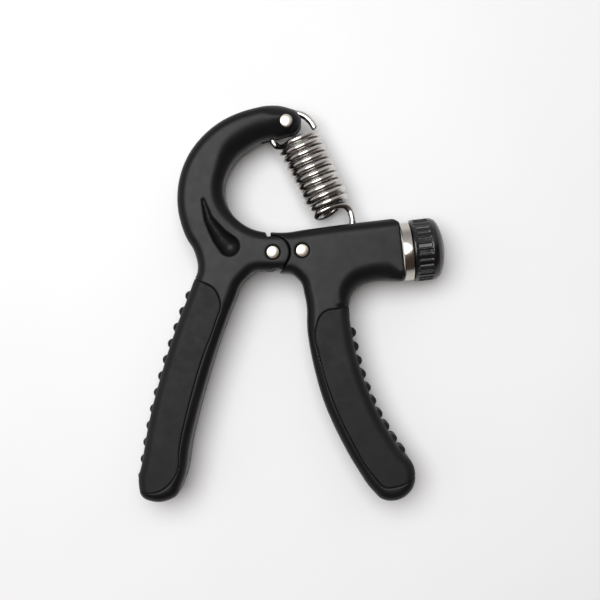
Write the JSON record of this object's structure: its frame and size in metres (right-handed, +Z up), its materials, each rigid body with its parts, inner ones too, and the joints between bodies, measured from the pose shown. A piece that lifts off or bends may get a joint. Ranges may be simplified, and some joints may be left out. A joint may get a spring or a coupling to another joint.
{
  "type": "hand grip strengthener",
  "caption": "Adjustable hand grip strengthener: C-arm handle and hinged handle with ribbed rubber grips, extension spring and screw knob setting the tension.",
  "frame": {"origin": "centre of the bounding box at its lowest level; the part lies flat on its back face", "axes": "+X towards the tension knob, +Y towards the C-arm's tip, +Z up through the thickness"},
  "size_m": [0.1198, 0.1542, 0.0243],
  "materials": {
    "body_plastic": "satin black moulded nylon",
    "grip_rubber": "matt black soft rubber",
    "pin_steel": "satin nickel plate",
    "spring_steel": "bright zinc plated spring wire",
    "band_steel": "turned and brushed",
    "knob_plastic": "gloss black",
    "cap_plastic": "dark grey, semi gloss",
    "screw_steel": "zinc plated",
    "bush_brass": "turned",
    "washer_nylon": "natural nylon",
    "carriage_zinc": "die cast, satin"
  },
  "bodies": {
    "frame": {"frame_body": "body_plastic", "frame_grip": "grip_rubber", "pivot_pin": "pin_steel", "pivot_washers": "washer_nylon", "spring_anchor_pin": "pin_steel", "spring": "spring_steel"},
    "lever": {"lever_body": "body_plastic", "lever_grip": "grip_rubber", "pivot_bush": "bush_brass", "screw_retaining_pin": "pin_steel", "end_band": "band_steel", "end_bush": "washer_nylon", "thrust_washer": "washer_nylon"},
    "knob": {"adjusting_screw": "screw_steel", "knob": "knob_plastic", "knob_nut": "screw_steel", "knob_cap": "cap_plastic"},
    "carriage": {"carriage": "carriage_zinc", "carriage_nut": "bush_brass", "hook_pin": "pin_steel"}
  },
  "joints": [
    {"name": "handle_squeeze", "type": "hinge", "parent": "frame", "child": "lever", "pos_m": [-0.00724, 0.01965, 0.01215], "axis": [0, 0, -1], "range_deg": [-8, 38], "stiffness_Nm_per_rad": 10, "deforming": ["spring"]},
    {"name": "knob_turn", "type": "hinge", "parent": "lever", "child": "knob", "pos_m": [0.04306, 0.02015, 0.01215], "axis": [-0.9936, -0.1132, 0], "range_deg": [-1620, 4140]},
    {"name": "carriage_slide", "type": "slide", "parent": "lever", "child": "carriage", "axis": [0.9936, 0.1132, 0], "range_m": [-0.0045, 0.0115]}
  ],
  "couplings": [
    {"joint": "knob_turn", "follows": "carriage_slide", "rad_per_m": 6283.2}
  ]
}
